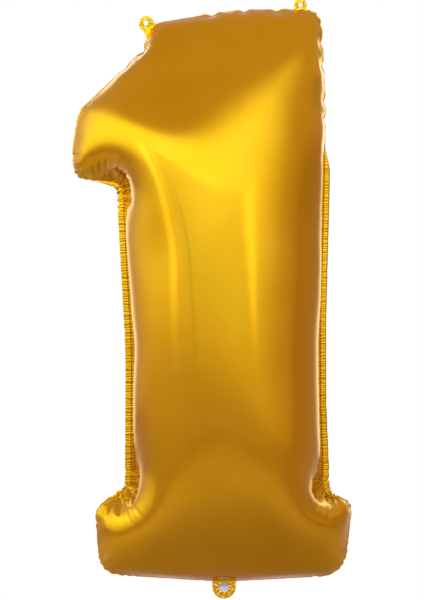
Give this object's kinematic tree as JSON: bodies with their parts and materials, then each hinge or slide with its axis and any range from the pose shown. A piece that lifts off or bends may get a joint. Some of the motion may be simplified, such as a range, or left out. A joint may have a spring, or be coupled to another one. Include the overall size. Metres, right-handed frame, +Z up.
{
  "type": "foil number balloon",
  "caption": "Inflated foil balloon shaped as the figure one, with a welded margin, two punched hanging tabs, and a filling tab holding a flat self-sealing valve.",
  "frame": {"origin": "bottom centre of the whole balloon: the filling tab's lower end is at Z = 0, and the width and depth are centred", "axes": "+Z up along the figure's stem, +X to the right seen from the front, front face towards -Y, weld in the plane Y = 0"},
  "size_m": [0.426, 0.256, 0.916],
  "materials": {
    "gold_foil": "satin-gloss gold lacquer over metallised film",
    "clear_film": "clear, slightly milky",
    "release_ink": "matte print"
  },
  "bodies": {
    "balloon": {"front_foil_panel": "gold_foil", "back_foil_panel": "gold_foil", "front_weld_margin": "gold_foil", "back_weld_margin": "gold_foil", "valve_front_film": "clear_film", "valve_back_film": "clear_film", "valve_release_band": "release_ink"},
    "left_tab": {"hanging_tab_left_front_ply": "gold_foil", "hanging_tab_left_back_ply": "gold_foil"},
    "right_tab": {"hanging_tab_right_front_ply": "gold_foil", "hanging_tab_right_back_ply": "gold_foil"},
    "filling_tab": {"filling_tab_front_ply": "gold_foil", "filling_tab_back_ply": "gold_foil", "valve_front_lip": "clear_film", "valve_back_lip": "clear_film"}
  },
  "joints": [
    {"name": "left_tab_fold", "type": "hinge", "parent": "balloon", "child": "left_tab", "pos_m": [-0.091, 0, 0.868], "axis": [0.809, 0, 0.5878], "range_deg": [-75, 75], "stiffness_Nm_per_rad": 0.0008},
    {"name": "right_tab_fold", "type": "hinge", "parent": "balloon", "child": "right_tab", "pos_m": [0.135, 0, 0.896], "axis": [0.9994, 0, -0.0349], "range_deg": [-75, 75], "stiffness_Nm_per_rad": 0.0008},
    {"name": "filling_tab_fold", "type": "hinge", "parent": "balloon", "child": "filling_tab", "pos_m": [0.0185, 0, 0.027], "axis": [1, 0, 0], "range_deg": [-80, 80], "stiffness_Nm_per_rad": 0.0008}
  ]
}
